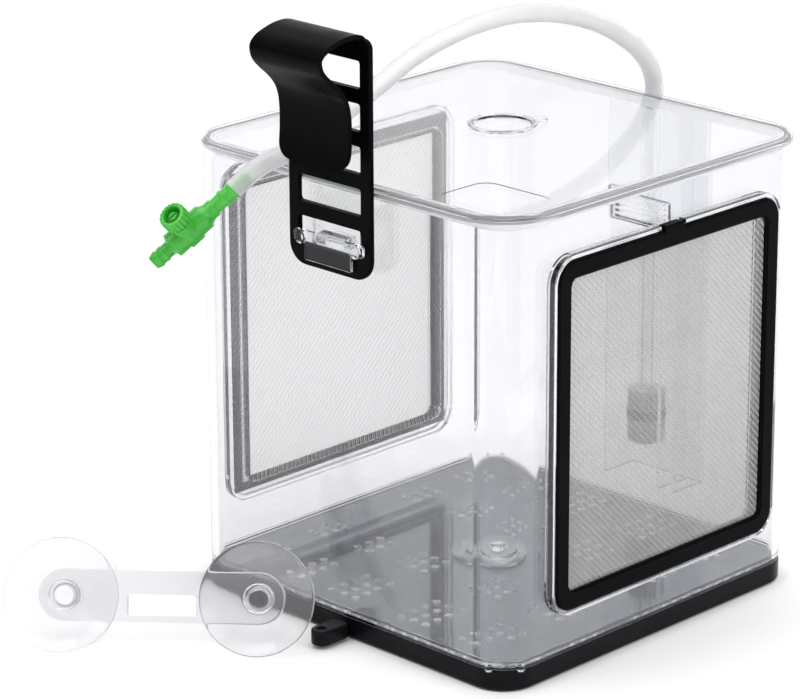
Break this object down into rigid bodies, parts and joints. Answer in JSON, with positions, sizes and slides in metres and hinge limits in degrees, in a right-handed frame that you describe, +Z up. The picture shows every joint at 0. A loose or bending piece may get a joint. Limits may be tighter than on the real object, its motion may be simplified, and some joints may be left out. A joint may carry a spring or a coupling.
{
  "type": "fish breeding box",
  "caption": "Clear hanging fish breeding box with mesh windows, black base, ladder hook, air-lift duct, air line with valve, and a suction cup bar.",
  "frame": {"origin": "centre of the base tray's underside, on the plane that the box stands on", "axes": "+Z up, -Y towards the ladder hanger and the aquarium's wall, +X towards the black-framed window, +Y towards the air-lift duct"},
  "size_m": [0.1416, 0.2248, 0.1916],
  "materials": {
    "clear_plastic": "clear moulded polystyrene, glossy",
    "black_plastic": "black moulded ABS, satin",
    "steel_mesh": "fine woven stainless steel wire",
    "green_plastic": "translucent green moulded plastic, glossy",
    "milky_tube": "translucent silicone hose",
    "soft_clear": "clear soft PVC",
    "grey_plastic": "grey sintered plastic, matt",
    "seal_rubber": "black rubber",
    "needle_plastic": "white moulded plastic"
  },
  "bodies": {
    "tank": {"base_plate": "black_plastic", "base_tray": "black_plastic", "box_shell": "clear_plastic", "side_mesh": "steel_mesh", "side_mesh_retainer": "clear_plastic", "airlift_duct": "clear_plastic", "duct_outlet": "clear_plastic", "air_pipe": "clear_plastic", "diffuser_top": "grey_plastic", "diffuser_ring": "seal_rubber", "diffuser_bottom": "grey_plastic", "air_tube": "milky_tube", "valve_body": "green_plastic", "valve_seal": "seal_rubber"},
    "lid_panel": {"lid": "clear_plastic"},
    "plug": {"feed_plug": "clear_plastic"},
    "window": {"window_frame": "black_plastic", "front_mesh": "steel_mesh"},
    "floor": {"floor_grate": "clear_plastic", "floor_knob": "clear_plastic"},
    "ladder": {"hanger": "black_plastic"},
    "clip": {"hanger_clip": "clear_plastic"},
    "needle": {"valve_needle": "needle_plastic"},
    "knob": {"valve_knob": "green_plastic"},
    "bar": {"cup_bar": "clear_plastic"},
    "cup_left": {"suction_cup_left": "soft_clear"},
    "cup_right": {"suction_cup_right": "soft_clear"}
  },
  "joints": [
    {"name": "lid_tilt", "type": "hinge", "parent": "tank", "child": "lid_panel", "pos_m": [0, -0.0695, 0.1428], "axis": [1, 0, 0], "range_deg": [0, 2.3]},
    {"name": "plug_lift", "type": "slide", "parent": "lid_panel", "child": "plug", "axis": [0, 0, 1], "range_m": [0, 0.015]},
    {"name": "window_pull", "type": "slide", "parent": "tank", "child": "window", "axis": [1, 0, 0], "range_m": [0, 0.012]},
    {"name": "floor_lift", "type": "slide", "parent": "tank", "child": "floor", "axis": [0, 0, 1], "range_m": [0, 0.06]},
    {"name": "ladder_shift", "type": "slide", "parent": "tank", "child": "ladder", "axis": [0, 0, 1], "range_m": [-0.0034, 0.0006]},
    {"name": "clip_pull", "type": "slide", "parent": "tank", "child": "clip", "axis": [0, -1, 0], "range_m": [0, 0.008]},
    {"name": "needle_lift", "type": "slide", "parent": "tank", "child": "needle", "axis": [0.0793, -0.7327, 0.6759], "range_m": [0, 0.0015]},
    {"name": "knob_turn", "type": "hinge", "parent": "needle", "child": "knob", "pos_m": [-0.0308, -0.0986, 0.129], "axis": [0.0793, -0.7327, 0.6759], "range_deg": [0, 540]},
    {"name": "bar_lift", "type": "slide", "parent": "tank", "child": "bar", "axis": [0, 0, 1], "range_m": [0, 0.04]},
    {"name": "cup_left_turn", "type": "hinge", "parent": "bar", "child": "cup_left", "pos_m": [-0.05648, -0.13037, 0.0163], "axis": [-0.6076, 0.7004, -0.3746], "range_deg": [-60, 60]},
    {"name": "cup_right_turn", "type": "hinge", "parent": "bar", "child": "cup_right", "pos_m": [-0.01192, -0.09171, 0.0163], "axis": [-0.6076, 0.7004, -0.3746], "range_deg": [-60, 60]}
  ],
  "couplings": [
    {"joint": "knob_turn", "follows": "needle_lift", "rad_per_m": 6283.2}
  ]
}
